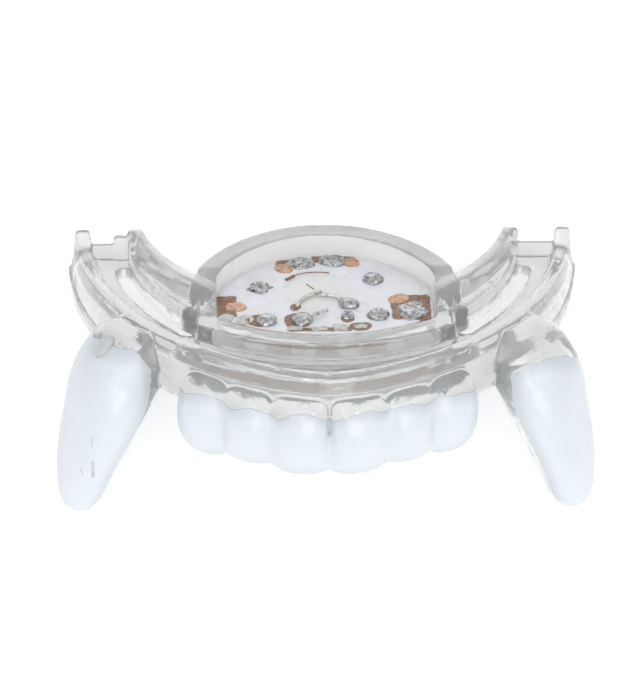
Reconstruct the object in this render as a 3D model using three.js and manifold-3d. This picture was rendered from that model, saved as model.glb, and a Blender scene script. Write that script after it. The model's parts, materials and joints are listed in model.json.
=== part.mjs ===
// Vampire fang denture: a clear plastic bite tray with a light housing, a row of
// front teeth, two fangs, a white circuit board, a coin cell and four LEDs.
// Millimetres, +Z up. Everything is drawn in the frame of the tray (X to the
// viewer's right, Y from the front teeth to the back, Z up, zero on the rim of the
// outer wall) and is then tipped until it stands on the fang tips and the arm ends.
import * as THREE from 'three';
import { mergeVertices } from 'three/addons/utils/BufferGeometryUtils.js';
import Module from 'manifold-3d';

const wasm = await Module();
wasm.setup();

// Driving dimensions, mm.
const archHalfWidth = 31.1;   // middle of the tray to the outside of an arm
const archDepth = 32.2;       // front of the arch to its widest line
const archFullness = 1.67;    // 2 is an ellipse, less is more pointed
const armReach = 0.92;        // length of an arm as a share of the arch depth

const outerWall = 1.9;        // thickness of the wall in front of the teeth
const wallHeight = 7.5;       // rim down to the bottom of the outer wall
const upperBand = 5.0;        // height of the smooth band above the ledge line
const ledgeStep = 0.95;       // how far the lower band stands proud of the upper one
const channelDepth = 2.1;     // rim down to the floor that the bite rests on
const floorThickness = 1.5;
const hornHeight = 2.05;      // how far the ends of the walls rise above the rim
const crossWall = 0.6;        // thickness of the low wall that joins them
const crossWallDrop = 0.15;   // its top below the rim
const tabWidth = 1.7;         // the round tab on the left one, beside the inner wall
const tabHeight = 1.35;       // how far the tab rises above it
const slotWidth = 2.0;        // the long slot in the floor of each arm
const slotMargin = 0.15;      // floor left between the slot and the inner wall
const channelWidth = 5.0;     // between the outer and the inner wall, at the front
const ledgeWidth = 1.9;       // the inner wall's low step, at its widest
const rimWidth = 1.5;         // its raised rim towards the tongue, at its widest
const edgeRound = 0.45;       // rounding of the moulding's edges

const pocketHalfWidth = 15.6; // outside of the light housing
const pocketWall = 2.25;      // thickness of its walls
const pocketFloor = 1.2;
const pocketRise = 2.45;      // how far its rear wall rises above the rim
const pocketFullness = 0.925; // share of the arch depth that the housing reaches back to

const boardThickness = 1.0;
const boardDrop = 0.2;        // top of the board below the rim
const ledDiameter = 3.0;
const ledLength = 4.3;
const ledFlange = 0.25;       // how far the foot of an LED stands out
const cellDiameter = 7.9;
const cellHeight = 2.1;
const solderSize = 1.35;      // half the width of a usual solder joint
const wireDiameter = 0.54;

const toothHeight = 11.45;    // gum edge to biting edge of the middle teeth
const toothDepth = 5.0;       // front to back
const gumDrop = 2.35;         // rim down to the gum edge of the middle teeth

const fangLength = 23.8;
const fangWidth = 11.3;       // along the arch, at the widest
const fangThickness = 10.2;   // across the arch, at the widest
const fangPlace = 0.60;       // where the fang sits, as a share of the way along the arm

const gap = 0.3;              // clearance between pieces that touch

// Small helpers.
const lerp = THREE.MathUtils.lerp;
const clamp = THREE.MathUtils.clamp;

// Reads one column of a table at a share, with straight lines between the rows.
function column(table, share, name) {
  let i = 1;
  while (i < table.length - 1 && table[i].share < share) i += 1;
  const a = table[i - 1], b = table[i];
  return lerp(a[name], b[name], clamp((share - a.share) / (b.share - a.share), 0, 1));
}

function toManifold(geometry) {
  const bare = new THREE.BufferGeometry();
  bare.setAttribute('position', geometry.getAttribute('position').clone());
  if (geometry.index) bare.setIndex(geometry.index.clone());
  const g = mergeVertices(bare, 1e-4);
  return new wasm.Manifold(new wasm.Mesh({
    numProp: 3,
    vertProperties: new Float32Array(g.getAttribute('position').array),
    triVerts: new Uint32Array(g.index.array),
  }));
}

function toGeometry(solid) {
  const m = solid.getMesh();
  const g = new THREE.BufferGeometry();
  g.setAttribute('position', new THREE.BufferAttribute(new Float32Array(m.vertProperties), 3));
  g.setIndex(new THREE.BufferAttribute(new Uint32Array(m.triVerts), 1));
  g.computeVertexNormals();
  return g;
}

const cut = (a, b) => wasm.Manifold.difference(a, b);
const join = (list) => wasm.Manifold.union(list);

// A closed skin over rings of points. Every ring has the same number of points and
// runs anticlockwise seen from the last ring; the two ends are filled.
function loft(rings, endFill) {
  const n = rings[0].length;
  const points = rings.flat();
  const index = [];
  for (let r = 0; r + 1 < rings.length; r += 1) {
    for (let k = 0; k < n; k += 1) {
      const a = r * n + k, b = r * n + (k + 1) % n;
      index.push(a, b, b + n, a, b + n, a + n);
    }
  }
  const last = (rings.length - 1) * n;
  for (const [i, j, k] of endFill) {
    index.push(i, k, j);
    index.push(last + i, last + j, last + k);
  }
  const g = new THREE.BufferGeometry();
  g.setAttribute('position', new THREE.Float32BufferAttribute(points.flatMap((p) => [p.x, p.y, p.z]), 3));
  g.setIndex(index);
  return g;
}

function fanFill(n) {
  const tris = [];
  for (let k = 1; k + 1 < n; k += 1) tris.push([0, k, k + 1]);
  return tris;
}

// The same as a solid, whichever way round its rings run.
function closedLoft(rings, endFill = fanFill(rings[0].length)) {
  const solid = toManifold(loft(rings, endFill));
  return solid.volume() > 0 ? solid : toManifold(loft([...rings].reverse(), endFill));
}

// The arch.
// A point on the curve that runs at this inset inside the outer edge of the tray.
// along is -1 at the end of the left arm, 0 at the front and 1 on the right.
const tailY = archDepth * armReach;
function archPoint(inset, along, reach = tailY) {
  const a = archHalfWidth - inset, b = archDepth - inset;
  const tEnd = Math.acos(clamp((archDepth - reach) / b, -1, 1));
  const t = Math.abs(along) * tEnd;
  const x = a * Math.pow(Math.sin(t), 2 / archFullness);
  return new THREE.Vector2(Math.sign(along) * x, archDepth - b * Math.cos(t));
}

// The share along an arm at which a curve reaches this Y.
function alongAtY(inset, y) {
  const b = archDepth - inset;
  return Math.acos(clamp((archDepth - y) / b, -1, 1)) / Math.acos(clamp((archDepth - tailY) / b, -1, 1));
}

// Direction that points out of the mouth at a place on the arch.
function outward(along) {
  const before = archPoint(0, along - 0.01), after = archPoint(0, along + 0.01);
  const d = after.sub(before).normalize();
  return new THREE.Vector2(d.y, -d.x);
}

// Sweeps a closed section along the arch. sectionAt(share) gives the corners as
// [inset, z] pairs, always the same number, for a share of the way along an arm.
function sweepArch(sectionAt, stations) {
  const first = sectionAt(Math.abs(stations[0]));
  const flat = first.map(([i, z]) => new THREE.Vector2(i, z));
  const turn = (i, j, k) => THREE.ShapeUtils.area([flat[i], flat[j], flat[k]]);
  const whole = THREE.ShapeUtils.area(flat);
  const fill = THREE.ShapeUtils.triangulateShape(flat, [])
    .map(([i, j, k]) => (turn(i, j, k) * whole > 0 ? [i, j, k] : [i, k, j]));
  const rings = stations.map((s) => sectionAt(Math.abs(s)).map(([inset, z]) => {
    const p = archPoint(inset, s);
    return new THREE.Vector3(p.x, p.y, z);
  }));
  return closedLoft(rings, fill);
}

function bothArms(shares) {
  const left = shares.filter((s) => s > 0).map((s) => -s).reverse();
  return [...left, ...shares];
}

// A solid over a flat outline, from one height to another.
function prism(points, low, high) {
  const shape = new THREE.Shape(points);
  const g = new THREE.ExtrudeGeometry(shape, { depth: high - low, bevelEnabled: false, curveSegments: 12 });
  g.translate(0, 0, low);
  return toManifold(g);
}

// Light housing outline, shared by the tray and the board.
// The front follows the inner wall of the tray, the back is a wide arc.
const pocketRear = archDepth * pocketFullness;
const pocketSideRear = pocketRear - pocketHalfWidth * 0.62;
const pocketFront = outerWall + channelWidth;
function arcThrough(x, yEnds, yMiddle, steps) {
  const rise = yMiddle - yEnds;
  const radius = (x * x + rise * rise) / (2 * Math.abs(rise));
  const cy = yMiddle - Math.sign(rise) * radius;
  const half = Math.asin(clamp(x / radius, -1, 1));
  const pts = [];
  for (let k = 0; k <= steps; k += 1) {
    const a = lerp(-half, half, k / steps);
    pts.push(new THREE.Vector2(radius * Math.sin(a), cy + Math.sign(rise) * radius * Math.cos(a)));
  }
  return pts;
}
function pocketOutline(inset, steps = 20) {
  const x = pocketHalfWidth - inset;
  const front = arcThrough(x, pocketFront + inset + x * 0.28, pocketFront + inset, steps);
  const rear = arcThrough(x, pocketSideRear - inset * 0.5, pocketRear - inset * 1.2, steps);
  return [...front, ...rear.reverse()];
}

const boardTop = -boardDrop;
const boardBottom = boardTop - boardThickness;
const ledAxisZ = boardBottom - gap - ledDiameter / 2 - ledFlange;
const pocketFloorTop = Math.min(ledAxisZ - ledDiameter / 2 - ledFlange, boardBottom - gap - cellHeight) - gap;
const pocketBottom = pocketFloorTop - pocketFloor;

// Clear bite tray.
// Rows run from the front of the arch to the end of an arm. channel, ledge and rim
// are shares of their widths, lean is the width of the slope up to the rim as a share
// of the rim's; raise is how far the rim stands up, as a share of the horns; band is
// a share of the upper band's height.
const armTable = [
  { share: 0.00, channel: 1.00, ledge: 0.84, lean: 0.10, rim: 0.53, raise: 0.0, band: 1.00 },
  { share: 0.42, channel: 0.98, ledge: 0.80, lean: 0.15, rim: 0.67, raise: 0.0, band: 1.00 },
  { share: 0.52, channel: 0.94, ledge: 0.80, lean: 0.95, rim: 1.10, raise: 0.85, band: 1.00 },
  { share: 0.60, channel: 0.92, ledge: 0.76, lean: 0.90, rim: 1.10, raise: 1.0, band: 1.00 },
  { share: 0.80, channel: 0.91, ledge: 0.58, lean: 0.45, rim: 1.00, raise: 1.0, band: 0.97 },
  { share: 1.00, channel: 0.90, ledge: 0.42, lean: 0.13, rim: 0.75, raise: 1.0, band: 0.65 },
];
const outerRamp = 0.955;   // share along the arm at which the outer horn starts to rise
const innerRamp = 0.86;    // the same for the inner horn
const hornFlat = 0.985;    // from here to the end the horns are level

function rise(share, start, power) {
  return hornHeight * Math.pow(clamp((share - start) / (hornFlat - start), 0, 1), power);
}

function traySection(share) {
  const ledge = ledgeWidth * column(armTable, share, 'ledge');
  const outTop = rise(share, outerRamp, 1.5);
  const inTop = rise(share, innerRamp, 1.9);
  const rimTop = Math.max(hornHeight * column(armTable, share, 'raise'), inTop);
  const up = rimTop - inTop;
  const inner = outerWall + channelWidth * column(armTable, share, 'channel');
  const lean = rimWidth * column(armTable, share, 'lean');
  const lingual = inner + ledge + lean + rimWidth * column(armTable, share, 'rim');
  const under = -channelDepth - floorThickness;
  const band = upperBand * column(armTable, share, 'band');
  const r = edgeRound;
  return [
    [-ledgeStep, -wallHeight + 2 * r], [-ledgeStep - 0.2 * r, -band - 0.8 * r],
    [-ledgeStep + 0.45 * r, -band], [-ledgeStep * 0.37, -band * 0.5], [-0.1 * r, outTop - 1.2 * r],
    [0.27 * r, outTop - 0.4 * r], [r, outTop],
    [outerWall - r, outTop], [outerWall - 0.27 * r, outTop - 0.4 * r], [outerWall, outTop - 1.1 * r],
    [outerWall + 0.33 * r, -channelDepth + 0.8 * r], [outerWall + 1.1 * r, -channelDepth],
    [inner - 0.05 * r, -channelDepth], [inner, inTop - r], [inner + 0.8 * r, inTop],
    [inner + ledge - 0.67 * r, inTop + up * 0.1], [inner + ledge + 0.85 * lean, inTop + up * 0.9],
    [inner + ledge + lean + 0.45 * r, rimTop], [lingual - 0.8 * r, rimTop], [lingual, rimTop - 0.9 * r],
    [lingual + 0.2 * r, under], [outerWall + 1.3 * r, under],
    [outerWall - 0.2 * r, under - 1.1 * r], [outerWall - 0.67 * r, -wallHeight + 0.9 * r],
    [outerWall - 1.55 * r, -wallHeight], [-ledgeStep + 1.1 * r, -wallHeight],
  ];
}

function trayStations() {
  const shares = [];
  for (let k = 0; k <= 17; k += 1) shares.push(k / 17 * 0.85);
  for (const s of [0.88, 0.905, 0.93, 0.955, 0.966, 0.976, 0.985, 1]) shares.push(s);
  return bothArms(shares);
}

// The room that the tray takes up from the front: pieces fixed to it are cut back to this.
function trayEnvelope() {
  const r = edgeRound;
  const section = () => [
    [-ledgeStep - 0.2 * r - gap, -wallHeight + 1.5 * r - gap * 0.4], [-ledgeStep - 0.2 * r - gap, -upperBand],
    [-ledgeStep * 0.37 - 0.1 * r - gap, -upperBand * 0.5], [-0.1 * r - gap, hornHeight + gap],
    [outerWall * 3, hornHeight + gap], [outerWall * 3, -wallHeight - gap],
    [-ledgeStep + 0.67 * r, -wallHeight - gap],
  ];
  return sweepArch(section, trayStations());
}

function crossWallSolid(side) {
  const low = -channelDepth - floorThickness, start = outerWall * 0.5, r = tabWidth / 3;
  const inner = outerWall + channelWidth * column(armTable, 1, 'channel');
  const end = inner + edgeRound, left = inner - tabWidth;
  const wallTop = -crossWallDrop, top = wallTop + tabHeight;
  const wall = () => [[start, low], [start, wallTop], [end, wallTop], [end, low]];
  const tab = () => [[left, low], [left, top - r], [left + 0.3 * r, top - 0.3 * r], [left + r, top],
    [inner - r, top], [inner - 0.3 * r, top - 0.3 * r], [inner, top - r], [inner, low]];
  const stations = (thick) => {
    const from = alongAtY(outerWall, tailY - thick);
    return [side * from, side * (from + 1) / 2, side];
  };
  const solid = sweepArch(wall, stations(crossWall));
  return side < 0 ? join([solid, sweepArch(tab, stations(crossWall * 1.6))]) : solid;
}

// The long slot through the floor of one arm, with round ends.
function slotSolid(side) {
  const start = 0.53, end = 0.90;
  const half = slotWidth / 2;
  const inset = (s) => outerWall + channelWidth * column(armTable, s, 'channel') - slotMargin - half;
  const line = (s) => archPoint(inset(s), side * s);
  const outer = [], inner = [];
  const steps = 14;
  for (let k = 0; k <= steps; k += 1) {
    const s = lerp(start, end, k / steps);
    const c = line(s), ahead = line(s + 0.004);
    const d = ahead.clone().sub(c).normalize();
    const n = new THREE.Vector2(d.y, -d.x);
    outer.push(c.clone().addScaledVector(n, half));
    inner.push(c.clone().addScaledVector(n, -half));
  }
  const round = (s, from) => {
    const c = line(s), ahead = line(s + 0.004);
    const a = Math.atan2(ahead.y - c.y, ahead.x - c.x);
    const pts = [];
    for (let k = 1; k < 6; k += 1) {
      const w = a + from + Math.PI * k / 6;
      pts.push(new THREE.Vector2(c.x + half * Math.cos(w), c.y + half * Math.sin(w)));
    }
    return pts;
  };
  const loop = [...outer, ...round(end, -Math.PI / 2), ...inner.reverse(), ...round(start, Math.PI / 2)];
  return prism(loop, -channelDepth - 2 * floorThickness, channelDepth * 0.2);
}

// Walls and floor of the housing, its rim low at the front and high at the back.
function housing() {
  const block = prism(pocketOutline(0), pocketBottom, pocketRise);
  const low = pocketFront + (pocketHalfWidth - pocketWall) * 0.28 + pocketWall;
  const corner = Math.max(pocketSideRear, low + pocketWall / 2);
  const profile = [
    new THREE.Vector2(-archDepth, 0), new THREE.Vector2(low, 0), new THREE.Vector2(corner, pocketRise),
    new THREE.Vector2(corner, 2 * pocketRise), new THREE.Vector2(-archDepth, 2 * pocketRise),
  ];
  const shape = new THREE.Shape(profile);
  const g = new THREE.ExtrudeGeometry(shape, { depth: 4 * archHalfWidth, bevelEnabled: false });
  g.rotateX(Math.PI / 2);
  g.rotateZ(Math.PI / 2);
  g.translate(-2 * archHalfWidth, 0, 0);
  return cut(block, toManifold(g));
}

function biteTray() {
  const arch = sweepArch(traySection, trayStations());
  const body = join([arch, crossWallSolid(-1), crossWallSolid(1), housing()]);
  const hollow = prism(pocketOutline(pocketWall), pocketFloorTop, 2 * pocketRise);
  return cut(cut(cut(body, hollow), slotSolid(-1)), slotSolid(1));
}

// Front teeth: six lobes in one row.
// Rows run from the gum to the biting edge. width, edge and depth are shares of the
// lobe's own width and depth: width towards a neighbour, edge on the free side of the
// last lobe. forward is a shift out of the mouth as a share of the depth.
const toothTable = [
  { share: 0.00, width: 0.62, edge: 0.30, depth: 0.28, forward: 0.0 },
  { share: 0.05, width: 0.93, edge: 0.60, depth: 0.55, forward: 0.07 },
  { share: 0.10, width: 1.02, edge: 0.74, depth: 0.69, forward: 0.11 },
  { share: 0.18, width: 1.05, edge: 0.87, depth: 0.83, forward: 0.15 },
  { share: 0.40, width: 1.05, edge: 1.02, depth: 1.00, forward: 0.19 },
  { share: 0.65, width: 1.06, edge: 1.05, depth: 1.00, forward: 0.17 },
  { share: 0.84, width: 1.06, edge: 0.90, depth: 0.86, forward: 0.13 },
  { share: 0.95, width: 0.98, edge: 0.62, depth: 0.60, forward: 0.09 },
  { share: 1.00, width: 0.64, edge: 0.28, depth: 0.28, forward: 0.07 },
];
// Rows run from the middle of the row outwards on one side: from and to are the
// edges of the lobe as shares of the arch's half width, height and drop are shares
// of the middle tooth.
const teeth = [
  { from: 0.000, to: 0.210, height: 1.00, drop: 1.00 },
  { from: 0.210, to: 0.383, height: 0.94, drop: 1.06 },
  { from: 0.383, to: 0.556, height: 1.01, drop: 0.96 },
];

// A closed ring that is a rounded box seen along its own axis.
function roundRing(centre, across, out, halfWidth, halfDepth, steps, power) {
  const ring = [];
  for (let k = 0; k < steps; k += 1) {
    const a = 2 * Math.PI * k / steps;
    const c = Math.cos(a), s = Math.sin(a);
    const u = halfWidth * Math.sign(c) * Math.pow(Math.abs(c), 2 / power);
    const v = halfDepth * Math.sign(s) * Math.pow(Math.abs(s), 2 / power);
    ring.push(centre.clone().addScaledVector(across, u).addScaledVector(out, v));
  }
  return ring;
}

// Share along the arch whose outer edge has this X.
function alongAtX(x) {
  let low = 0, high = 1;
  for (let k = 0; k < 40; k += 1) {
    const mid = (low + high) / 2;
    if (archPoint(0, mid).x < Math.abs(x)) low = mid; else high = mid;
  }
  return Math.sign(x) * low;
}

function toothLobe(row, side) {
  const a = archPoint(0, alongAtX(side * row.from * archHalfWidth));
  const b = archPoint(0, alongAtX(side * row.to * archHalfWidth));
  const width = a.distanceTo(b);
  const middle = a.clone().add(b).multiplyScalar(0.5);
  const across = new THREE.Vector3(b.x - a.x, b.y - a.y, 0).normalize();
  const out = new THREE.Vector3(side * across.y, -side * across.x, 0);
  const height = toothHeight * row.height;
  const top = -gumDrop * row.drop;
  const rings = [];
  for (const t of toothTable) {
    const centre = new THREE.Vector3(middle.x, middle.y, top - height * t.share);
    centre.addScaledVector(out, toothDepth * t.forward);
    const inner = width / 2 * t.width, outer = width / 2 * (row === teeth.at(-1) ? t.edge : t.width);
    centre.addScaledVector(across, (outer - inner) / 2);
    rings.push(roundRing(centre, across, out, (inner + outer) / 2, toothDepth / 2 * t.depth, 20, 2.3));
  }
  return closedLoft(rings);
}

function frontTeeth(envelope) {
  const lobes = [];
  for (const row of teeth) lobes.push(toothLobe(row, -1), toothLobe(row, 1));
  return cut(join(lobes), envelope);
}

// Fangs.
// Rows run from the root to the tip. width and thickness are shares of the fang's own;
// outward, sideways and forward are shifts away from the wall, away from the middle of
// the mouth and to the front, as shares of the fang's length.
const fangTable = [
  { share: 0.00, width: 0.46, thickness: 0.30, outward: -0.080, sideways: 0.000, forward: 0.000 },
  { share: 0.025, width: 0.66, thickness: 0.52, outward: -0.050, sideways: 0.000, forward: 0.000 },
  { share: 0.08, width: 0.80, thickness: 0.70, outward: -0.021, sideways: 0.000, forward: 0.004 },
  { share: 0.17, width: 0.94, thickness: 0.90, outward: 0.000, sideways: 0.006, forward: 0.017 },
  { share: 0.28, width: 1.00, thickness: 1.00, outward: 0.004, sideways: 0.023, forward: 0.034 },
  { share: 0.40, width: 0.94, thickness: 0.96, outward: 0.004, sideways: 0.055, forward: 0.059 },
  { share: 0.54, width: 0.84, thickness: 0.86, outward: 0.000, sideways: 0.109, forward: 0.088 },
  { share: 0.68, width: 0.71, thickness: 0.75, outward: 0.000, sideways: 0.155, forward: 0.118 },
  { share: 0.82, width: 0.58, thickness: 0.62, outward: 0.000, sideways: 0.189, forward: 0.139 },
  { share: 0.92, width: 0.46, thickness: 0.50, outward: 0.000, sideways: 0.206, forward: 0.147 },
  { share: 0.975, width: 0.31, thickness: 0.34, outward: 0.000, sideways: 0.210, forward: 0.151 },
  { share: 1.00, width: 0.10, thickness: 0.12, outward: 0.000, sideways: 0.210, forward: 0.151 },
];

function fang(side, envelope) {
  const root = archPoint(0, side * fangPlace);
  const o = outward(side * fangPlace);
  const out = new THREE.Vector3(o.x, o.y, 0).multiplyScalar(o.x * side > 0 ? 1 : -1);
  const across = new THREE.Vector3(-out.y, out.x, 0);
  const rings = [];
  for (const row of fangTable) {
    const centre = new THREE.Vector3(root.x, root.y, -fangLength * (0.008 + row.share));
    centre.addScaledVector(out, fangThickness * 0.30 + fangLength * row.outward);
    centre.x += side * fangLength * row.sideways;
    centre.y -= fangLength * row.forward;
    const halfWidth = fangWidth / 2 * row.width, halfDepth = fangThickness / 2 * row.thickness;
    rings.push(roundRing(centre, across, out, halfWidth, halfDepth, 24, 2.15));
  }
  return cut(closedLoft(rings), envelope);
}

// Light: board, cell, LEDs, solder and wires.
const ledPitch = (pocketHalfWidth - pocketWall) * 2 / 4.85;
const ledFront = (x) => wallFrontAt(Math.abs(x) + ledDiameter / 2 + ledFlange) + gap;
const cellX = -cellDiameter * 0.14;
const cellY = ledFront(ledPitch / 2) + ledLength + gap + cellDiameter / 2;
const bulgeHeight = boardThickness * 0.45;

function disc(x, y, low, high, radius, steps = 28) {
  const g = new THREE.CylinderGeometry(radius, radius, high - low, steps);
  g.rotateX(Math.PI / 2);
  g.translate(x, y, (low + high) / 2);
  return toManifold(g);
}

// A dome that sits on the board.
function bump(x, y, base, rx, ry, height, steps = 12) {
  const profile = [new THREE.Vector2(0, 0), new THREE.Vector2(1, 0), new THREE.Vector2(0.96, 0.3),
    new THREE.Vector2(0.8, 0.65), new THREE.Vector2(0.5, 0.9), new THREE.Vector2(0, 1)];
  const g = new THREE.LatheGeometry(profile, steps);
  g.rotateX(Math.PI / 2);
  g.scale(rx, ry, height);
  g.translate(x, y, base);
  return toManifold(g);
}

function circuitBoard() {
  const plate = prism(pocketOutline(pocketWall + gap), boardBottom, boardTop);
  const radius = cellDiameter * 0.56;
  const bulge = bump(cellX, cellY, boardTop - bulgeHeight / 2, radius, radius, bulgeHeight * 1.5, 32);
  return join([plate, bulge]);
}

function coinCell() {
  const top = boardBottom - gap;
  const low = top - cellHeight;
  return join([disc(cellX, cellY, low, low + cellHeight * 0.75, cellDiameter / 2),
    disc(cellX, cellY, low, top, cellDiameter * 0.425)]);
}

// A clear LED that lies on its side and looks out through the front wall.
function led(x) {
  const r = ledDiameter / 2;
  const foot = ledLength * 0.19;
  const profile = [new THREE.Vector2(0, 0), new THREE.Vector2(r + ledFlange, 0),
    new THREE.Vector2(r + ledFlange, foot), new THREE.Vector2(r, foot), new THREE.Vector2(r, ledLength - r)];
  for (let k = 1; k <= 6; k += 1) {
    const a = Math.PI / 2 * k / 6;
    profile.push(new THREE.Vector2(k === 6 ? 0 : r * Math.cos(a), ledLength - r + r * Math.sin(a)));
  }
  const g = new THREE.LatheGeometry(profile, 18);
  g.rotateX(Math.PI);
  g.translate(x, ledFront(x) + ledLength, ledAxisZ);
  return toManifold(g);
}

// Inside face of the front wall of the housing at this X.
function wallFrontAt(x) {
  const pts = pocketOutline(pocketWall).slice(0, 21);
  let y = pts[10].y;
  for (const p of pts) if (Math.abs(p.x) <= x + pocketHalfWidth / 15) y = Math.max(y, p.y);
  return y;
}

// Solder joints on the board: place as shares of the hollow's half width and of the
// way from its front to its back; wide, long and high as shares of the usual joint.
const joints = [
  { name: 'solder_rear_left', x: -0.22, y: 0.87, wide: 1.10, long: 0.67, high: 0.37 },
  { name: 'solder_rear_right', x: 0.07, y: 0.90, wide: 1.26, long: 0.63, high: 0.41 },
  { name: 'solder_right', x: 0.45, y: 0.69, wide: 1.00, long: 0.85, high: 0.56 },
  { name: 'solder_left', x: -0.61, y: 0.60, wide: 0.96, long: 0.74, high: 0.33 },
  { name: 'solder_front_left', x: -0.56, y: 0.18, wide: 1.00, long: 0.81, high: 0.56 },
  { name: 'solder_front_right', x: 0.48, y: 0.24, wide: 1.00, long: 0.81, high: 0.52 },
  { name: 'solder_far_right', x: 0.80, y: 0.30, wide: 0.81, long: 1.19, high: 0.33 },
];
const housingPlace = (x, y) => [x * (pocketHalfWidth - pocketWall),
  lerp(pocketFront + pocketWall, pocketRear - pocketWall, y)];

function solder(row) {
  const [x, y] = housingPlace(row.x, row.y);
  return bump(x, y, boardTop + gap, solderSize * row.wide, solderSize * row.long, solderSize * row.high);
}

// A bent wire leg that ends in its solder joint. Each bend is [x, y, height], the
// height above the board as a share of the wire's own thickness.
function wireLeg(row) {
  const path = new THREE.CatmullRomCurve3(row.bends.map(([x, y, h]) => {
    const [px, py] = housingPlace(x, y);
    return new THREE.Vector3(px, py, boardTop + gap + wireDiameter * h);
  }));
  const shape = new THREE.Shape();
  shape.absarc(0, 0, wireDiameter / 2, 0, Math.PI * 2, false);
  const g = new THREE.ExtrudeGeometry(shape,
    { steps: 10, curveSegments: 4, bevelEnabled: false, extrudePath: path });
  return join([toManifold(g), solder(row.joint)]);
}

const wires = [
  { name: 'wire_leg_upper',
    bends: [[-0.26, 0.36, 0.6], [-0.21, 0.44, 1.7], [-0.10, 0.52, 2.0],
      [0.02, 0.49, 2.0], [0.12, 0.46, 1.8], [0.20, 0.40, 0.9]],
    joint: { x: 0.21, y: 0.39, wide: 1.00, long: 0.78, high: 0.59 } },
  { name: 'wire_leg_lower',
    bends: [[-0.22, 0.19, 0.7], [-0.14, 0.22, 1.7], [-0.06, 0.27, 1.9], [0.02, 0.31, 1.7]],
    joint: { x: -0.24, y: 0.19, wide: 1.07, long: 0.96, high: 0.67 } },
];

// Assembly.
const clear = new THREE.MeshStandardMaterial({ color: 0xe6e8e4, roughness: 0.08, metalness: 0 });
const paint = new THREE.MeshStandardMaterial({ color: 0xf2f5fa, roughness: 0.12, metalness: 0 });
const board = new THREE.MeshStandardMaterial({ color: 0xdfe3ea, roughness: 0.45, metalness: 0 });
const tin = new THREE.MeshStandardMaterial({ color: 0x9a9a98, roughness: 0.3, metalness: 1 });
const steel = new THREE.MeshStandardMaterial({ color: 0xc4c6c8, roughness: 0.25, metalness: 1 });

const tray = new THREE.Group();
const solids = [];
function add(name, solid, material) {
  const mesh = new THREE.Mesh(toGeometry(solid), material);
  mesh.name = name;
  tray.add(mesh);
  solids.push(solid);
}

const envelope = trayEnvelope();
add('bite_tray', biteTray(), clear);
add('front_teeth', frontTeeth(envelope), paint);
add('fang_left', fang(-1, envelope), paint);
add('fang_right', fang(1, envelope), paint);
add('circuit_board', circuitBoard(), board);
add('coin_cell', coinCell(), steel);
for (let k = 0; k < 4; k += 1) add('led_' + (k + 1), led((k - 1.5) * ledPitch), clear);
for (const row of joints) add(row.name, solder(row), tin);
for (const row of wires) add(row.name, wireLeg(row), tin);

// Resting pose.
// Seen from the side, the denture rests on one edge of the outline under it. It is
// the edge behind the fang tips that has the centre of mass over it.
function restingTilt() {
  let mass = 0, my = 0, mz = 0;
  const pts = [];
  for (const s of solids) {
    const m = s.getMesh();
    const v = m.vertProperties, t = m.triVerts;
    for (let k = 0; k < v.length; k += 3) pts.push([v[k + 1], v[k + 2]]);
    for (let k = 0; k < t.length; k += 3) {
      const [a, b, c] = [t[k], t[k + 1], t[k + 2]].map((i) => [v[3 * i], v[3 * i + 1], v[3 * i + 2]]);
      const d = (a[0] * (b[1] * c[2] - b[2] * c[1]) - a[1] * (b[0] * c[2] - b[2] * c[0])
        + a[2] * (b[0] * c[1] - b[1] * c[0])) / 6;
      mass += d;
      my += d * (a[1] + b[1] + c[1]) / 4;
      mz += d * (a[2] + b[2] + c[2]) / 4;
    }
  }
  const cy = my / mass, cz = mz / mass;
  pts.sort((p, q) => p[0] - q[0] || p[1] - q[1]);
  const hull = [];
  for (const p of pts) {
    while (hull.length > 1) {
      const a = hull[hull.length - 2], b = hull[hull.length - 1];
      if ((b[0] - a[0]) * (p[1] - a[1]) - (b[1] - a[1]) * (p[0] - a[0]) > 0) break;
      hull.pop();
    }
    hull.push(p);
  }
  let best = 0, least = Infinity;
  for (let k = 0; k + 1 < hull.length; k += 1) {
    const [a, b] = [hull[k], hull[k + 1]];
    const len = Math.hypot(b[0] - a[0], b[1] - a[1]);
    const along = ((cy - a[0]) * (b[0] - a[0]) + (cz - a[1]) * (b[1] - a[1])) / len;
    const angle = Math.atan2(b[1] - a[1], b[0] - a[0]);
    if (along > 0 && along < len && len > fangThickness / 10 && angle > 0 && angle < least) {
      least = angle;
      best = -angle;
    }
  }
  return best;
}

tray.rotation.x = restingTilt();
tray.updateMatrixWorld(true);
const box = new THREE.Box3().setFromObject(tray, true);
const denture = new THREE.Group();
tray.position.set(-(box.min.x + box.max.x) / 2, -(box.min.y + box.max.y) / 2, -box.min.z);
denture.add(tray);

export default denture;
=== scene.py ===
# %% [markdown]
# # Clear vampire fangs with a light housing
#
# The packed model already has the true sizes and places. Its faces are flat and it has
# no finish, so this lesson loads it, gives each piece the rounded form that a mould
# gives, paints and solders it with node materials, and lights it in a small studio.

# %% Load the packed model
import json
import math

import bmesh
import bpy
from mathutils import Matrix, Vector, noise
from mathutils.bvhtree import BVHTree


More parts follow.
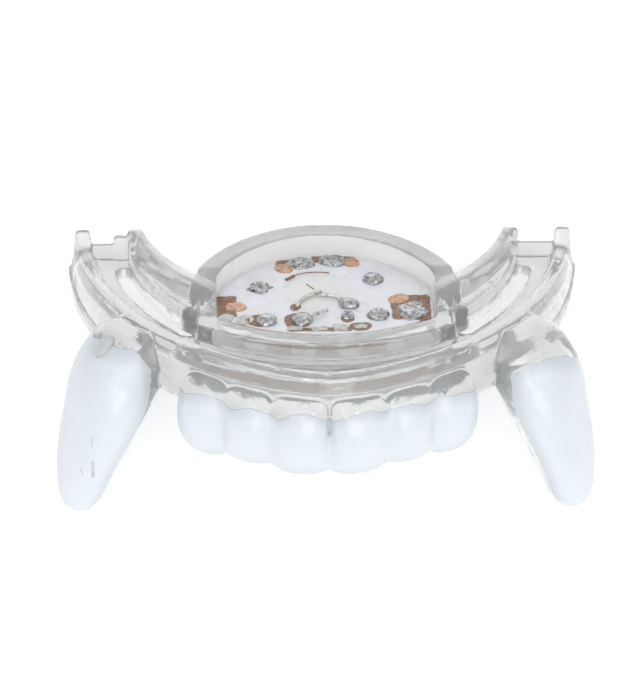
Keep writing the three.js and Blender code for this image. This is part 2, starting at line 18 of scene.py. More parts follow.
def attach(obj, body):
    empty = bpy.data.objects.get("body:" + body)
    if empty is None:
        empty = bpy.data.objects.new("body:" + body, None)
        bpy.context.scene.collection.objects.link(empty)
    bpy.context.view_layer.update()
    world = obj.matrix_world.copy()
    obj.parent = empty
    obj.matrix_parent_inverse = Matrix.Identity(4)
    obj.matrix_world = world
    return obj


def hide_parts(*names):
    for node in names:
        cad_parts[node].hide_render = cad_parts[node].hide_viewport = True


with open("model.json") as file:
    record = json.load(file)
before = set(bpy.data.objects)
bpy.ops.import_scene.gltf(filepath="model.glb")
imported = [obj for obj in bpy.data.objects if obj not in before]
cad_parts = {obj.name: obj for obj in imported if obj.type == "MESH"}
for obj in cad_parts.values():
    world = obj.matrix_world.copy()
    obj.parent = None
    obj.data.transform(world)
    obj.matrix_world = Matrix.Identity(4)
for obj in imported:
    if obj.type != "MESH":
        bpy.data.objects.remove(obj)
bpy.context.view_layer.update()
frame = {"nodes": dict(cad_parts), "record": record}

nodes = frame["nodes"]

# %% [markdown]
# ## The tray's own frame
#
# The denture stands tipped back on its fang tips and the ends of its arms. Modelling a
# slanted thing is awkward, so the work is done in the tray's own frame: X to the right,
# Y from the front teeth to the back, Z up out of the channel, in millimetres. The mount
# on the floor of the channel carries both a point and a direction, which is all that is
# needed to go back and forth.

# %% The tray's own frame
MM = 0.001
CHANNEL_POINT = Vector((0, 4.4, -2.1))      # where that mount sits, in the tray's frame

channel = next(m for m in frame["record"]["mounts"] if m["name"] == "bite_channel_floor")
tray_right = Vector((1, 0, 0))
tray_up = Vector(channel["axis"]).normalized()
tray_back = tray_up.cross(tray_right).normalized()
turn = Matrix((tray_right, tray_back, tray_up)).transposed()
corner = Vector(channel["pos_m"]) - turn @ CHANNEL_POINT * MM
TO_WORLD = Matrix.Translation(corner) @ turn.to_4x4() @ Matrix.Scale(MM, 4)
TO_TRAY = TO_WORLD.inverted()
print("tray tipped by", round(math.degrees(math.acos(tray_up.z)), 2), "degrees")

# %% [markdown]
# ## Carrying shapes over and handing them back
#
# Two helpers do the fetching. The first welds copies of packed nodes into a bmesh in
# the tray's frame. The second turns a bmesh into a finished piece: it notes each point's
# place in the tray as an attribute, so that a pattern can follow the moulding, then puts
# the mesh where it belongs in the world and hides the packed nodes it stands for. Two
# small ones measure a node's box and run modifiers on a bmesh.

# %% Helpers for pieces
WELD = 2e-6          # in metres, points closer than this are one


def tray_copy(*names):
    """Welded copies of packed nodes, in the tray's frame."""
    bm = bmesh.new()
    for name in names:
        bm.from_mesh(nodes[name].data)
    bmesh.ops.remove_doubles(bm, verts=bm.verts, dist=WELD)
    bm.transform(TO_TRAY)
    return bm


def node_box(name):
    """Lowest and highest corner of a packed node in the tray's frame."""
    bm = tray_copy(name)
    low = Vector([min(v.co[k] for v in bm.verts) for k in range(3)])
    high = Vector([max(v.co[k] for v in bm.verts) for k in range(3)])
    bm.free()
    return low, high


def make_piece(name, bm, material, replaces=(), smooth=True):
    """A finished piece from a bmesh in the tray's frame."""
    place = bm.verts.layers.float_vector.get("tray") or bm.verts.layers.float_vector.new("tray")
    for v in bm.verts:
        v[place] = v.co
    for f in bm.faces:
        f.smooth = smooth
    bm.transform(TO_WORLD)
    mesh = bpy.data.meshes.new(name)
    bm.to_mesh(mesh)
    bm.free()
    mesh.materials.append(material)
    piece = bpy.data.objects.new(name, mesh)
    bpy.context.scene.collection.objects.link(piece)
    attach(piece, "root")
    if replaces:
        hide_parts(*replaces)
    return piece


def with_modifiers(bm, *steps):
    """The bmesh after modifiers, each given as (type, settings)."""
    mesh = bpy.data.meshes.new("work")
    bm.to_mesh(mesh)
    bm.free()
    work = bpy.data.objects.new("work", mesh)
    bpy.context.scene.collection.objects.link(work)
    for kind, settings in steps:
        modifier = work.modifiers.new(kind.lower(), kind)
        for key, value in settings.items():
            setattr(modifier, key, value)
    shaped = work.evaluated_get(bpy.context.evaluated_depsgraph_get()).to_mesh()
    out = bmesh.new()
    out.from_mesh(shaped)
    bpy.data.objects.remove(work)
    return out


low, high = node_box("front_teeth")
print("front teeth, in the tray's frame:", [round(s, 1) for s in high - low], "mm")

# %% [markdown]
# ## Writing materials as sums
#
# A pattern in a material is arithmetic on noise and places. One small class wraps the
# output of a node, so that `1 - mask * 0.3` writes its own Math nodes, and one method
# adds any other node with its settings and the values of its sockets.

# %% Node arithmetic
class Flow:
    """The output of a node in a material. Sums of it add Math nodes."""

    def __init__(self, tree, socket=None):
        self.tree, self.socket = tree, socket

    def node(self, kind, settings=(), output=0, **sockets):
        new = self.tree.nodes.new("ShaderNode" + kind)
        for key, value in dict(settings).items():
            if key == "stops":
                ramp = new.color_ramp
                while len(ramp.elements) < len(value):
                    ramp.elements.new(1)
                for stop, (place, colour) in zip(ramp.elements, value):
                    stop.position, stop.color = place, colour
            else:
                setattr(new, key, value)
        for key, value in sockets.items():
            named = key.replace("_", " ")
            slot = new.inputs[int(key[1:])] if key[1:].isdigit() else new.inputs[named]
            if isinstance(value, Flow):
                self.tree.links.new(value.socket, slot)
            else:
                slot.default_value = value
        return Flow(self.tree, new.outputs[output])

    def math(self, operation, *values):
        named = {"i%d" % k: v for k, v in enumerate(values)}
        return self.node("Math", {"operation": operation}, **named)

    def __add__(self, other): return self.math("ADD", self, other)
    def __radd__(self, other): return self.math("ADD", other, self)
    def __sub__(self, other): return self.math("SUBTRACT", self, other)
    def __rsub__(self, other): return self.math("SUBTRACT", other, self)
    def __mul__(self, other): return self.math("MULTIPLY", self, other)
    def __rmul__(self, other): return self.math("MULTIPLY", other, self)

    def step(self, low, high):
        """0 below low, 1 above high and smooth between them."""
        return self.node("MapRange", {"interpolation_type": "SMOOTHSTEP"}, Value=self,
                         From_Min=low, From_Max=high)

    def noise(self, place, scale, detail=2.0):
        return self.node("TexNoise", Vector=place, Scale=scale, Detail=detail)

    def line_near(self, place, a, b, wide):
        """1 on the line from a to b and 0 further than wide from it."""
        way = Vector(b) - Vector(a)
        offset = self.node("VectorMath", {"operation": "SUBTRACT"}, "Vector", i0=place, i1=a)
        share = self.node("VectorMath", {"operation": "DOT_PRODUCT"}, "Value", i0=offset,
                          i1=tuple(way / way.length_squared)).clamped()
        foot = self.node("VectorMath", {"operation": "SCALE"}, "Vector", i0=tuple(way), i3=share)
        far = self.node("VectorMath", {"operation": "DISTANCE"}, "Value", i0=offset, i1=foot)
        return 1 - far.step(wide * 0.4, wide)

    def clamped(self):
        return self.node("Clamp", (), "Result", Value=self)

    def colours(self, first, second):
        """The first colour where this is 0, the second where it is 1."""
        return self.node("Mix", {"data_type": "RGBA"}, 2, i0=self, i6=first, i7=second)


def new_material(name):
    """A material, its shader and a Flow to start sums from."""
    material = bpy.data.materials.new(name)
    material.use_nodes = True
    tree = material.node_tree
    return material, tree.nodes["Principled BSDF"], Flow(tree)


def dress(flow, shader, **sockets):
    """Sets constants and links values on the shader's sockets."""
    for key, value in sockets.items():
        slot = shader.inputs[key.replace("_", " ")]
        if isinstance(value, Flow):
            flow.tree.links.new(value.socket, slot)
        else:
            slot.default_value = value


print("besides sums, a Flow has", [name for name in vars(Flow) if not name.startswith("_")])

# %% [markdown]
# ## Clear plastic
#
# The mouthpiece is injection moulded from clear styrene. What makes such plastic look
# real is that it isn't perfect: the skin ripples slightly where it cooled, small scuffs
# make some places duller, and thick places look faintly grey-green. The shader is a
# glass-like one with a share of milkiness, and two sizes of noise drive its bump and its
# roughness. A trace of smoke inside the volume tints the thick places.

# %% Clear plastic material
clear_plastic, shader, flow = new_material("clear_plastic")
place = flow.node("Attribute", {"attribute_name": "tray"}, "Vector")
ripple = flow.noise(place, 0.35, 2.0)
scuff = flow.noise(place, 2.6, 5.0)
grain = ripple + scuff * 0.10
bump = flow.node("Bump", Height=grain, Strength=0.18, Distance=0.0009)
dress(flow, shader, Base_Color=(0.86, 0.86, 0.853, 1), Roughness=0.01 + scuff.step(0.45, 0.8) * 0.08,
      Transmission_Weight=0.80, IOR=1.49, Normal=bump)
smoke = flow.node("VolumeAbsorption", Color=(0.82, 0.825, 0.79, 1), Density=12.0)
plastic_out = clear_plastic.node_tree.nodes["Material Output"]
clear_plastic.node_tree.links.new(smoke.socket, plastic_out.inputs["Volume"])
print("clear plastic:", len(clear_plastic.node_tree.nodes), "nodes")

# %% [markdown]
# ## The clear moulding
#
# Tray, teeth and fangs come out of one mould. In the packed model they are separate
# solids 0.3 mm apart, and a ray of light would see every one of those slits. So the
# roots of the teeth and fangs are first pushed across the slit into the wall. Then a
# voxel remesh melts all four into one skin, and a little smoothing rounds the edges as
# a mould does. The voxels line up with the tray, so its flat faces stay flat. Teeth and
# fangs are rounder than the tray, so their points are smoothed much longer.

# %% The clear moulding
SLIT = 0.55          # points nearer than this to the tray are a root
BITE = 0.25          # how far a root goes into the wall
VOXEL = 0.21
ROUNDING = 6         # rounds of smoothing everywhere
CLEAR_OF_TRAY = 0.5  # teeth and fangs further than this from the tray get rounder
SOFTER = 70          # rounds of smoothing there
REGROWN = 0.07       # what that smoothing takes off, put back
TRIANGLES = 190000   # about what the finished skin keeps

tray = tray_copy("bite_tray")
tray_skin = BVHTree.FromBMesh(tray)


def rooted(name):
    """A copy of a node whose root reaches into the tray."""
    bm = tray_copy(name)
    moved = 0
    for v in bm.verts:
        near, _, _, far = tray_skin.find_nearest(v.co)
        if far < SLIT:
            v.co += (near - v.co).normalized() * (far + BITE)
            moved += 1
    print(name, "root points:", moved, "of", len(bm.verts))
    return bm


whole = tray
for name in ("front_teeth", "fang_left", "fang_right"):
    part = rooted(name)
    mesh = bpy.data.meshes.new("part")
    part.to_mesh(mesh)
    part.free()
    whole.from_mesh(mesh)
moulding = with_modifiers(whole, ("REMESH", {"mode": "VOXEL", "voxel_size": VOXEL}),
                          ("SMOOTH", {"factor": 0.5, "iterations": ROUNDING}))
soft = [v for v in moulding.verts if tray_skin.find_nearest(v.co)[3] > CLEAR_OF_TRAY]
for _ in range(SOFTER):
    bmesh.ops.smooth_vert(moulding, verts=soft, factor=0.5,
                          use_axis_x=True, use_axis_y=True, use_axis_z=True)
moulding.normal_update()
for v in soft:
    v.co += v.normal * REGROWN
print("melted:", len(moulding.faces), "faces,", len(soft), "soft points")
keep = TRIANGLES / (2 * len(moulding.faces))     # a face of the remesh is two triangles
moulding = with_modifiers(moulding, ("DECIMATE", {"ratio": keep}))
print("moulding:", len(moulding.faces), "faces")
moulding_skin = moulding.copy()
make_piece("clear_moulding", moulding, clear_plastic,
           ("bite_tray", "front_teeth", "fang_left", "fang_right"))

# %% [markdown]
# ## White paint
#
# The teeth and fangs are sprayed white from the front. The film is thin, stops in a
# soft ragged line a little below the gum, and leaves the backs clear, so light still
# gets in from behind. Each film is a copy of the faces it covers, given a small
# thickness, and a mask made of height and noise cuts its edge.

# %% White paint material
# Ends of each mark in the tray's frame, half its width in mm and how dark it is.
SCRATCHES = [
    ((-28.45, 3.55, -11.1), (-28.5, 3.3, -16.8), 0.18, 0.34),
    ((-28.45, 3.3, -14.6), (-28.5, 3.3, -16.6), 0.34, 0.34),
    ((-29.98, 3.46, -15.6), (-29.70, 3.31, -16.4), 0.09, 0.60),
    ((-27.75, 6.55, -3.2), (-27.65, 6.55, -3.3), 0.10, 0.55),
    ((-9.68, -1.13, -6.85), (-9.66, -1.13, -6.95), 0.10, 0.45),
    ((27.3, 4.6, -8.2), (27.5, 4.3, -8.7), 0.06, 0.50),
]

white_paint, shader, flow = new_material("white_paint")
place = flow.node("Attribute", {"attribute_name": "tray"}, "Vector")
edge = flow.node("Attribute", {"attribute_name": "inside"}, "Fac")
ragged = flow.noise(place, 0.9, 3.0)
cover = (edge + ragged * 0.36 - 0.18).step(-0.06, 0.06)
orange_peel = flow.noise(place, 1.1, 2.0)
speck = flow.noise(place, 6.0, 3.0)
# Painted shade: the white is darker near the edge of the film and where the surface turns away from the
# spray. This stands in for the shading that light gives the teeth and fangs.
painted_edge_shade = (edge + ragged * 0.4).step(0.1, 1.9)
tint = painted_edge_shade.colours((0.53, 0.565, 0.60, 1), (0.63, 0.665, 0.70, 1))
marks = sum(flow.line_near(place, a, b, wide) * dark for a, b, wide, dark in SCRATCHES)
tint = marks.colours(tint, (0.30, 0.31, 0.33, 1))
bump = flow.node("Bump", Height=orange_peel + speck * 0.03, Strength=0.2, Distance=0.0004)
dress(flow, shader, Base_Color=tint, Roughness=0.24 + speck * 0.10, Alpha=cover, Normal=bump)
dress(flow, shader, Coat_Weight=0.35, Coat_Roughness=0.16)
print("white paint:", len(white_paint.node_tree.nodes), "nodes and", len(SCRATCHES), "marks")

# %% Paint films
FILM = 0.05          # thickness of the paint
SUNK = 0.02          # how far its back sits inside the plastic
NEAR = 0.45          # a point this close to a node belongs to it
DEEP = 1.35          # in the filled valleys it may be this far
OFF_TRAY = 0.25      # as long as it's this far from the tray
OUTSIDE = -2         # the depth of points that belong to another node
MARGIN = 0.6         # film kept outside the line, where the mask fades it out


def paint_film(name, node, inside, slot_nodes):
    """The faces of the moulding that belong to a node and face the spray, as a film.

    inside(point, normal) is how many mm a point lies inside the painted area."""
    source = tray_copy(node)
    skin = BVHTree.FromBMesh(source)
    film = moulding_skin.copy()
    depth = film.verts.layers.float.new("inside")
    film.normal_update()
    unpainted = []
    for v in film.verts:
        _, _, _, far = skin.find_nearest(v.co)
        own = far < NEAR or (far < DEEP and tray_skin.find_nearest(v.co)[3] > OFF_TRAY)
        v[depth] = inside(v.co, v.normal) if own else OUTSIDE
        if v[depth] < -MARGIN:
            unpainted.append(v)
    bmesh.ops.delete(film, geom=unpainted, context="VERTS")
    for v in film.verts:
        v.co -= v.normal * SUNK
    bmesh.ops.solidify(film, geom=film.faces[:], thickness=-FILM)
    source.free()
    print(name, "faces:", len(film.faces))
    return make_piece(name, film, white_paint, slot_nodes)


# Height of the paint's upper edge on the teeth at each X.
GUM_LINE = [(-17.5, -4.8), (-16.5, -4.3), (-15.0, -3.8), (-13.6, -4.2), (-11.7, -4.8), (-9.7, -4.0),
            (-8.0, -4.4), (-6.1, -5.0), (-4.4, -4.0), (-2.5, -3.7), (0.2, -5.1), (2.8, -3.9), (4.7, -3.6),
            (6.5, -4.4), (9.7, -3.7), (11.7, -4.4), (13.9, -4.2), (16.2, -4.3), (17.5, -4.8)]
# The same on the fangs, and how far round to the inner side the paint goes there.
FANG_LINE = {-1: [(-30.0, -2.0), (-27.5, -1.0), (-23.5, -0.8), (-22.6, -1.4), (-21.5, -3.0), (-20.5, -4.5)],
             1: [(21.8, -4.2), (22.4, -3.6), (24.0, -2.4), (26.7, -2.2), (28.8, -2.8), (30.3, -4.0),
                 (31.5, -5.0)]}
FANG_TURN = {-1: 0.81, 1: 0.66}
SPRAY = Vector((0, -0.80, 0.60))     # where the paint came from
TEETH_RIM, FANG_RIM = -0.15, 0.12    # surfaces that face it less than this stay clear
TEETH_UNDERSIDE = 0.66               # and so do the teeth where they turn down more than this
PER_TURN = 3                         # mm of depth for each unit that a normal turns past a rim
PER_SIDE_TURN = 4                    # the same round the inner side of a fang


def along(table, x):
    """Reads a table of (x, value) with straight lines between its rows."""
    for (x0, v0), (x1, v1) in zip(table, table[1:]):
        if x <= x1:
            return v0 + (v1 - v0) * max(0.0, (x - x0) / (x1 - x0))
    return table[-1][1]


def on_teeth(p, n):
    below_gum = along(GUM_LINE, p.x) - p.z
    return min(below_gum, (n.dot(SPRAY) - TEETH_RIM) * PER_TURN, (n.z + TEETH_UNDERSIDE) * PER_TURN)


def on_fang(side):
    def inside(p, n):
        below_line = along(FANG_LINE[side], p.x) - p.z
        outward = (n.x * side + FANG_TURN[side]) * PER_SIDE_TURN
        return min(below_line, outward, (n.dot(SPRAY) - FANG_RIM) * PER_TURN)
    return inside


paint_film("paint_on_teeth", "front_teeth", on_teeth, ("front_teeth",))
paint_film("paint_on_fang_left", "fang_left", on_fang(-1), ("fang_left",))
paint_film("paint_on_fang_right", "fang_right", on_fang(1), ("fang_right",))

# %% [markdown]
# ## A bead of clear plastic
#
# On top of the left fang sits a small clear drop. It is a ball squashed along the slope
# of the fang, and its lower half sinks into the moulding. It gets the same clear resin
# as the lamps: a glassy shader with a little haze. On the lamps a faint glow stands in
# for the light that a lens gathers.

# %% Clear resin material
def resin_finish(name, clear, gathered):
    """Clear resin. gathered is a faint glow for the light that a lens gathers."""
    material, shader, flow = new_material(name)
    place = flow.node("Attribute", {"attribute_name": "tray"}, "Vector")
    haze = flow.noise(place, 1.5, 3.0)
    bump = flow.node("Bump", Height=haze, Strength=0.2, Distance=0.0003)
    dress(flow, shader, Base_Color=(0.93, 0.93, 0.925, 1), Roughness=0.03 + haze * 0.06, IOR=1.5,
          Transmission_Weight=clear, Emission_Color=(1, 1, 1, 1), Emission_Strength=gathered, Normal=bump)
    return material


bead_resin = resin_finish("bead_resin", 0.66, 0.0)
lens_resin = resin_finish("lens_resin", 0.50, 0.16)
print("clear resin:", len(lens_resin.node_tree.nodes), "nodes")

# %% Clear bead
BEAD_AT = Vector((-26.75, 8.75, -1.25))
BEAD_SIZE = (1.62, 1.02, 0.80)       # half its width, length and height
BEAD_UP = Vector((-0.36, -0.36, 0.86))
BEAD_LUMPS = 0.06
bead = bmesh.new()
bmesh.ops.create_icosphere(bead, subdivisions=5, radius=1)
for v in bead.verts:
    v.co *= 1 + BEAD_LUMPS * noise.noise(v.co * 1.5)
bmesh.ops.scale(bead, vec=BEAD_SIZE, verts=bead.verts)
slope = BEAD_UP.to_track_quat("Z", "X").to_matrix()
bmesh.ops.rotate(bead, cent=(0, 0, 0), matrix=slope, verts=bead.verts)
bmesh.ops.translate(bead, vec=BEAD_AT, verts=bead.verts)
print("bead faces:", len(bead.faces))
make_piece("clear_bead_left", bead, bead_resin)

# %% [markdown]
# ## The circuit board
#
# A small board with a white lacquer closes the light housing. It bulges over the coin
# cell. The copy of the packed solid is melted with a fine voxel so that the bulge is
# smooth, and the lacquer gets brown flux stains round the joints and a faint mottling.
# It only covers the face: the edge and the underside are brown pressed paper, and that
# brown shows through the clear front wall of the housing.

# %% Board lacquer
board_white, shader, flow = new_material("board_white")
place = flow.node("Attribute", {"attribute_name": "tray"}, "Vector")
mottle = flow.noise(place, 0.5, 4.0)
fine = flow.noise(place, 5.0, 4.0)
stain = flow.noise(place, 0.9, 5.0).step(0.56, 0.74)
base = mottle.step(0.3, 0.7).colours((0.70, 0.705, 0.735, 1), (0.75, 0.755, 0.785, 1))
height = place.node("SeparateXYZ", (), "Z", Vector=place)
base = height.step(-0.15, 0.25).colours(base, (0.72, 0.72, 0.69, 1))
flux = place.node("VectorMath", {"operation": "DISTANCE"}, "Value", i0=place, i1=(4.3, 15.1, -0.2))
ring = flux.step(0.5, 0.85) - flux.step(0.95, 1.15)
worn = (stain * 0.35 + ring * 0.45 * fine.step(0.35, 0.6)).colours(base, (0.50, 0.50, 0.41, 1))
paper = fine.colours((0.30, 0.17, 0.09, 1), (0.50, 0.33, 0.20, 1))
worn = height.step(-0.42, -0.30).colours(paper, worn)
bump = flow.node("Bump", Height=mottle + fine * 0.15, Strength=0.3, Distance=0.0003)
dress(flow, shader, Base_Color=worn, Roughness=0.32 + fine * 0.15, Normal=bump)
print("board lacquer:", len(board_white.node_tree.nodes), "nodes")

# %% Board
BOARD_TOP = -0.2     # height of its face beside the bulge
ABOVE_BOARD = 5      # where the search for its face starts
BOARD_VOXEL = 0.2

board = with_modifiers(tray_copy("circuit_board"), ("REMESH", {"mode": "VOXEL", "voxel_size": BOARD_VOXEL}),
                       ("SMOOTH", {"factor": 0.5, "iterations": 3}))
board_skin = BVHTree.FromBMesh(board)
make_piece("lacquered_board", board, board_white, ("circuit_board",))


def on_board(x, y):
    """Height of the board's face at a place."""
    hit = board_skin.ray_cast(Vector((x, y, ABOVE_BOARD)), Vector((0, 0, -1)))[0]
    return hit.z if hit else BOARD_TOP


print("board face at the bulge:", round(on_board(-1, 18), 2), "mm")

# %% [markdown]
# ## Copper pads
#
# Bare copper shows as ovals, strips and a square where the lacquer was left off. Each
# pad is a flat disc or plate about a tenth of a millimetre thick with rounded corners
# and a slightly uneven outline, laid on the board. The metal is mottled from bright
# orange to a dark tarnish, and some pads carry tin.

# %% Copper materials
def copper_finish(name, dark, middle, light, metal):
    """Copper whose tarnish runs from a dark to a light colour."""
    material, shader, flow = new_material(name)
    place = flow.node("Attribute", {"attribute_name": "tray"}, "Vector")
    tarnish = flow.noise(place, 1.8, 5.0)
    scratches = flow.noise(place, 9.0, 3.0)
    hue = flow.node("ValToRGB", {"stops": [(0.30, (*dark, 1)), (0.50, (*middle, 1)), (0.70, (*light, 1))]},
                    Fac=tarnish * 0.7 + scratches * 0.3)
    bump = flow.node("Bump", Height=tarnish + scratches * 0.4, Strength=0.5, Distance=0.0002)
    dress(flow, shader, Base_Color=hue, Metallic=metal, Roughness=0.35 + scratches * 0.3, Normal=bump)
    return material


bright_copper = copper_finish("bright_copper", (0.34, 0.17, 0.10), (0.60, 0.37, 0.25),
                              (0.78, 0.57, 0.43), 0.45)
brown_copper = copper_finish("brown_copper", (0.13, 0.07, 0.045), (0.28, 0.17, 0.115),
                             (0.42, 0.29, 0.21), 0.35)
tinned = copper_finish("tinned_pad", (0.30, 0.30, 0.27), (0.52, 0.53, 0.49), (0.70, 0.71, 0.68), 0.25)
print("copper finishes: bright, brown and tinned")

# %% Pads
# Name, finish, x, y, half width, half length, angle in degrees and the share that a hole
# takes. Places are in the tray's frame.
PADS = [
    ("copper_rear_left", bright_copper, -4.98, 23.57, 1.15, 0.95, -8, 0.0),
    ("copper_rear_right", bright_copper, 3.35, 24.80, 1.05, 0.95, 12, 0.0),
    ("copper_left", bright_copper, -11.02, 15.25, 1.30, 0.95, 0, 0.0),
    ("copper_right", bright_copper, 8.95, 16.75, 1.30, 0.90, 10, 0.0),
    ("copper_front_left", brown_copper, -7.95, 12.32, 1.75, 1.25, 0, 0.0),
    ("copper_middle", brown_copper, -3.55, 12.30, 1.65, 1.45, 0, 0.0),
    ("copper_drop", brown_copper, 2.47, 12.85, 0.80, 0.95, 0, 0.0),
    ("copper_leg", brown_copper, -3.75, 15.05, 0.62, 0.55, 0, 0.25),
    ("copper_front_ring", brown_copper, 4.05, 10.95, 1.35, 0.75, 6, 0.0),
    ("tinned_square_foot", tinned, -12.15, 12.95, 0.90, 0.70, 0, 0.0),
    ("tinned_left", tinned, -9.90, 12.56, 1.05, 0.90, 0, 0.0),
    ("tinned_front_ring", tinned, 4.05, 10.90, 0.85, 0.42, 6, 0.0),
]
# Name, finish, lower left corner, upper right corner and radius of the corners.
PLATES = [
    ("copper_square_left", brown_copper, (-13.3, 13.2), (-10.9, 17.6), 0.15),
    ("copper_patch_right", brown_copper, (7.95, 12.4), (12.75, 17.6), 0.60),
    ("copper_rear_strip_right", brown_copper, (-1.6, 25.0), (3.9, 26.2), 0.25),
    ("copper_rear_strip_left", brown_copper, (-6.0, 24.3), (-2.2, 25.5), 0.25),
    ("copper_front_strip", brown_copper, (-4.7, 10.10), (2.9, 10.75), 0.12),
    ("tinned_front_a", tinned, (-4.9, 10.2), (-2.9, 10.95), 0.15),
    ("tinned_front_b", tinned, (-1.9, 10.1), (0.0, 10.85), 0.15),
    ("tinned_front_c", tinned, (0.7, 10.1), (2.5, 11.35), 0.30),
]
PAD_HEIGHT = 0.08
OVAL_HEIGHT = 0.12    # ovals lie over the strips
TIN_HEIGHT = 0.16     # tin lies over both
RAGGED = 0.22         # how uneven the outlines are
UNEVEN = 1.1          # how fast the outlines waver along the board
PAD_SIDES = 40
PLATE_CUTS = 9        # points added along each side of a plate, for the uneven outline


def lay_on_board(bm, lift=0.0, ragged=0.0):
    """Drops flat work onto the board's face and roughens its outline."""
    for v in bm.verts:
        flat = Vector((v.co.x, v.co.y, 0))
        v.co.x += ragged * noise.noise(flat * UNEVEN)
        v.co.y += ragged * noise.noise(flat * UNEVEN + Vector((0, 0, 7)))
        v.co.z += on_board(v.co.x, v.co.y) + lift


def thicken(bm, high):
    """Gives a flat sheet some height."""
    up = bmesh.ops.extrude_face_region(bm, geom=bm.faces[:])["geom"]
    lifted = [g for g in up if isinstance(g, bmesh.types.BMVert)]
    bmesh.ops.translate(bm, verts=lifted, vec=(0, 0, high))
    bmesh.ops.recalc_face_normals(bm, faces=bm.faces[:])


def oval_pad(name, finish, x, y, wide, long, angle, hole):
    """A round or oval pad, with a hole in it or without."""
    bm = bmesh.new()
    bmesh.ops.create_circle(bm, cap_ends=True, segments=PAD_SIDES, radius=1)
    if hole:
        bmesh.ops.inset_individual(bm, faces=bm.faces[:], thickness=1 - hole)
        inner = [f for f in bm.faces if len(f.verts) == PAD_SIDES]
        bmesh.ops.delete(bm, geom=inner, context="FACES")
    thicken(bm, TIN_HEIGHT if finish is tinned else OVAL_HEIGHT)
    bmesh.ops.scale(bm, vec=(wide, long, 1), verts=bm.verts)
    turned_by = Matrix.Rotation(math.radians(angle), 3, "Z")
    bmesh.ops.rotate(bm, cent=(0, 0, 0), matrix=turned_by, verts=bm.verts)
    bmesh.ops.translate(bm, vec=(x, y, 0), verts=bm.verts)
    lay_on_board(bm, ragged=RAGGED)
    return make_piece(name, bm, finish, smooth=False)


def plate_pad(name, finish, low, high, radius):
    """A square or oblong pad between two corners."""
    bm = bmesh.new()
    bmesh.ops.create_grid(bm, x_segments=1, y_segments=1, size=0.5)
    bmesh.ops.scale(bm, vec=(high[0] - low[0], high[1] - low[1], 1), verts=bm.verts)
    bmesh.ops.translate(bm, vec=((low[0] + high[0]) / 2, (low[1] + high[1]) / 2, 0), verts=bm.verts)
    bmesh.ops.bevel(bm, geom=bm.verts[:], affect="VERTICES", offset=radius, segments=4,
                    profile=0.5, material=-1)
    sides = [e for e in bm.edges if e.calc_length() > 2 * radius]
    bmesh.ops.subdivide_edges(bm, edges=sides, cuts=PLATE_CUTS)
    thicken(bm, TIN_HEIGHT if finish is tinned else PAD_HEIGHT)
    lay_on_board(bm, ragged=RAGGED)
    return make_piece(name, bm, finish, smooth=False)


for row in PADS:
    oval_pad(*row)
for row in PLATES:
    plate_pad(*row)
print("pads:", len(PADS) + len(PLATES))

# %% Copper lip
# A copper strip is folded down over the front edge of the board, behind the clear wall.
LIP_DROP = 0.62
LIP_THICK = 0.07
LIP_HALF_WIDTH = 13.2
lip = tray_copy("circuit_board")
lip.normal_update()
unwanted = [f for f in lip.faces
            if f.normal.y > -0.5 or abs(f.calc_center_median().x) > LIP_HALF_WIDTH]
bmesh.ops.delete(lip, geom=unwanted, context="FACES")
bmesh.ops.solidify(lip, geom=lip.faces[:], thickness=-LIP_THICK)
bmesh.ops.translate(lip, verts=lip.verts, vec=(0, 0, -LIP_DROP))
print("lip faces:", len(lip.faces))
make_piece("copper_front_lip", lip, bright_copper, smooth=False)

# %% [markdown]
# ## Solder and wire
#
# Hand soldering leaves low, lumpy puddles of tin with a skin that is bright in some
# places and grey in others, and specks of dark flux. Each puddle starts as a ball that
# is cut flat and squashed, and noise gives it lumps. Each puddle reads the noise at its
# own place, so no two are alike and each run makes the same ones.

# %% Solder material
solder, shader, flow = new_material("dull_solder")
place = flow.node("Attribute", {"attribute_name": "tray"}, "Vector")
lumps = flow.noise(place, 2.2, 4.0)
pits = flow.noise(place, 7.0, 4.0)
dirty = (lumps * 0.6 + pits * 0.4).step(0.44, 0.62)
hue = dirty.colours((0.50, 0.50, 0.51, 1), (0.20, 0.18, 0.17, 1))
bump = flow.node("Bump", Height=lumps + pits * 0.12, Strength=0.35, Distance=0.0002)
dress(flow, shader, Base_Color=hue, Metallic=0.9, Roughness=0.14 + dirty * 0.30, Normal=bump)
print("solder:", len(solder.node_tree.nodes), "nodes")

# %% Solder joints
# Name, x, y, half width, half length, height and lumpiness.
JOINTS = [
    ("solder_rear_left", -2.85, 24.70, 1.70, 1.15, 0.50, 0.30),
    ("solder_rear_right", 1.05, 25.15, 1.75, 1.10, 0.55, 0.25),
    ("solder_right", 5.97, 21.10, 1.30, 1.20, 0.70, 0.08),
    ("solder_left", -8.12, 19.44, 1.35, 1.10, 0.30, 0.50),
    ("solder_front_left", -7.30, 12.22, 1.30, 1.15, 0.75, 0.10),
    ("solder_front_right", 6.28, 13.31, 1.35, 1.15, 0.70, 0.12),
    ("solder_far_right", 10.35, 14.20, 1.85, 1.90, 0.45, 0.28),
]


CUT_AT = -0.08            # where the ball is cut, for a radius of one
LUMPS, GRAINS = 1.4, 3.5  # how close the large and the small lumps lie
GRAIN_SHARE = 0.4
SAG = 0.8                 # less than one makes a puddle fuller near its rim


